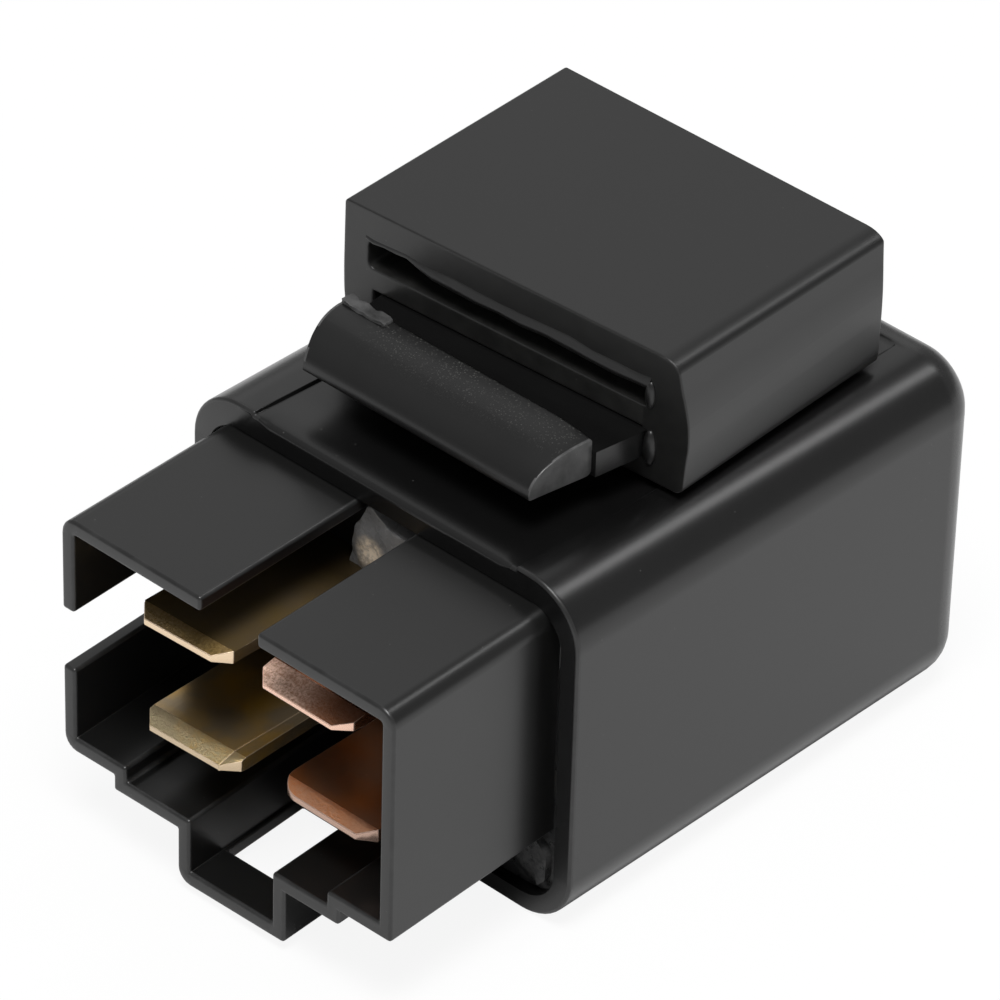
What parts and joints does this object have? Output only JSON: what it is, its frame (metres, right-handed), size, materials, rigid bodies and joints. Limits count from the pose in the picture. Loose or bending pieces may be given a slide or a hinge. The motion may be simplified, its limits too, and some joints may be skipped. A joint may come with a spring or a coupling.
{
  "type": "automotive relay",
  "caption": "Small sealed automotive relay with flat blade terminals in an open connector shroud, a sprung armature inside, and a rubber mounting sleeve on a moulded tongue.",
  "frame": {"origin": "middle of the can's bottom, and of the overall depth", "axes": "+X to the right when facing the connector, -Y is the connector face, +Z is the side with the mounting tongue"},
  "size_m": [0.0266, 0.0414, 0.0289],
  "materials": {
    "case_plastic": "black moulded plastic, soft gloss",
    "base_plastic": "black moulded plastic, satin",
    "rubber": "soft black rubber",
    "dark_resin": "dark potting resin",
    "pale_resin": "pale stained resin",
    "brass": "rolled brass strip",
    "copper": "rolled copper strip",
    "soft_iron": "plated soft iron",
    "spring_bronze": "phosphor bronze leaf",
    "spring_steel": "spring wire",
    "contact_silver": "silver alloy",
    "bobbin_plastic": "dark green moulded plastic",
    "enamelled_wire": "enamelled copper wire",
    "tinned_wire": "tinned wire",
    "resistor_coat": "tan lacquer"
  },
  "bodies": {
    "housing": {"case": "case_plastic", "rubber_sleeve": "rubber", "connector_base": "base_plastic", "sealing_resin": "dark_resin", "terminal_resin": "pale_resin", "coil_terminal_upper": "brass", "coil_terminal_lower": "brass", "contact_terminal": "copper", "common_terminal": "copper", "yoke": "soft_iron", "core": "soft_iron", "bobbin": "bobbin_plastic", "coil_winding": "enamelled_wire", "coil_lead_upper": "enamelled_wire", "coil_lead_lower": "enamelled_wire", "fixed_contact": "contact_silver", "stop_bracket": "soft_iron", "return_spring": "spring_steel", "suppression_resistor": "resistor_coat", "resistor_leads": "tinned_wire"},
    "armature": {"armature": "soft_iron", "contact_spring": "spring_bronze", "spring_rivets": "tinned_wire", "moving_contact": "contact_silver"}
  },
  "joints": [
    {"name": "armature_hinge", "type": "hinge", "parent": "housing", "child": "armature", "pos_m": [0, 0.0135, 0.0152], "axis": [1, 0, 0], "range_deg": [0, 2.5], "stiffness_Nm_per_rad": 0.01, "springref_deg": -11.46, "deforming": ["return_spring"]}
  ]
}
